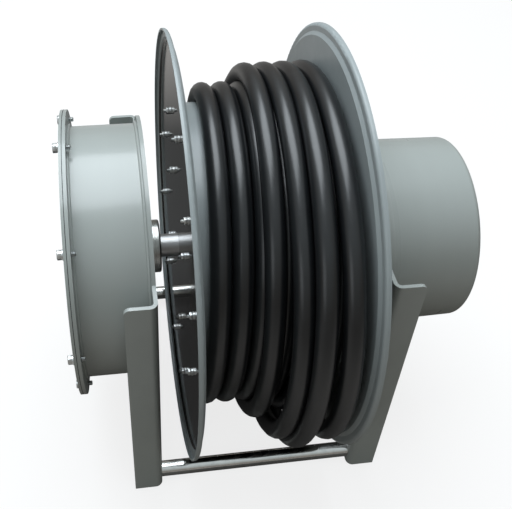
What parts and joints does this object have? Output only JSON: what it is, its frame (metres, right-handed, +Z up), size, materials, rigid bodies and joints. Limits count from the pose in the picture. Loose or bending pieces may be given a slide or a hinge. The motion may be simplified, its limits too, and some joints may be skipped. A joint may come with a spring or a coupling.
{
  "type": "spring cable reeling drum",
  "caption": "Floor-standing cable reel: a flanged steel drum of black cable between two folded brackets, with a spring motor can on one end and a slip-ring cover on the other.",
  "frame": {"origin": "On the floor, at the middle of the four foot bolt holes; the drum's middle is 365 mm above it.", "axes": "+Z up. +X along the drum's axis, from the spring motor to the slip rings. +Y to the rear; the cable leaves at the front, -Y."},
  "size_m": [0.6611, 0.7, 0.715],
  "materials": {
    "drum_paint": "semi-gloss grey-green enamel",
    "frame_paint": "semi-gloss grey enamel over folded plate",
    "zinc": "bright zinc plate",
    "ground_steel": "ground and oiled",
    "bright_rod": "bright drawn and plated",
    "bearing_steel": "polished",
    "spring_steel": "blued strip",
    "cast_hub": "turned and painted",
    "brass": "turned",
    "cable_sheath": "smooth chloroprene sheath",
    "gasket": "cut sheet",
    "insulator": "turned phenolic",
    "carbon": "pressed carbon",
    "terminal_plastic": "moulded",
    "gland_plastic": "moulded polyamide"
  },
  "bodies": {
    "stand": {"right_bracket": "frame_paint", "left_bracket": "frame_paint", "left_foot_plate": "frame_paint", "right_foot_plate": "frame_paint", "front_tie_rod": "bright_rod", "rear_tie_rod": "bright_rod", "tie_rod_screws": "zinc", "right_bearing_housing": "ground_steel", "left_bearing_housing": "ground_steel", "housing_screws": "zinc", "spring_housing_screws": "zinc", "slip_ring_base_screws": "zinc", "bearing_outer_rings": "bearing_steel", "bearing_balls": "bearing_steel", "spring_housing": "frame_paint", "cover_gasket": "gasket", "spring_cover": "frame_paint", "cover_screws": "zinc", "drive_spring": "spring_steel", "slip_ring_base": "frame_paint", "slip_ring_cover": "frame_paint", "cover_studs": "zinc", "cover_stud_nuts": "zinc", "brush_holders": "brass", "carbon_brushes": "carbon", "terminal_block": "terminal_plastic", "supply_gland": "gland_plastic"},
    "drum": {"drum_barrel": "drum_paint", "left_drum_flange": "drum_paint", "right_drum_flange": "drum_paint", "left_hub": "cast_hub", "right_hub": "cast_hub", "barrel_screws": "zinc", "hub_screws": "zinc", "drum_shaft": "ground_steel", "bearing_inner_rings": "bearing_steel", "spring_arbor": "ground_steel", "slip_ring_sleeve": "insulator", "slip_rings": "brass", "ring_insulators": "insulator", "stack_nut": "zinc", "cable_inner_layer": "cable_sheath", "cable_outer_layer": "cable_sheath", "cable_slack_turns": "cable_sheath", "cable_end_cap": "gasket"}
  },
  "joints": [
    {"name": "drum_spin", "type": "hinge", "parent": "stand", "child": "drum", "pos_m": [0, 0, 0.365], "axis": [1, 0, 0], "range_deg": [0, 2880]}
  ]
}
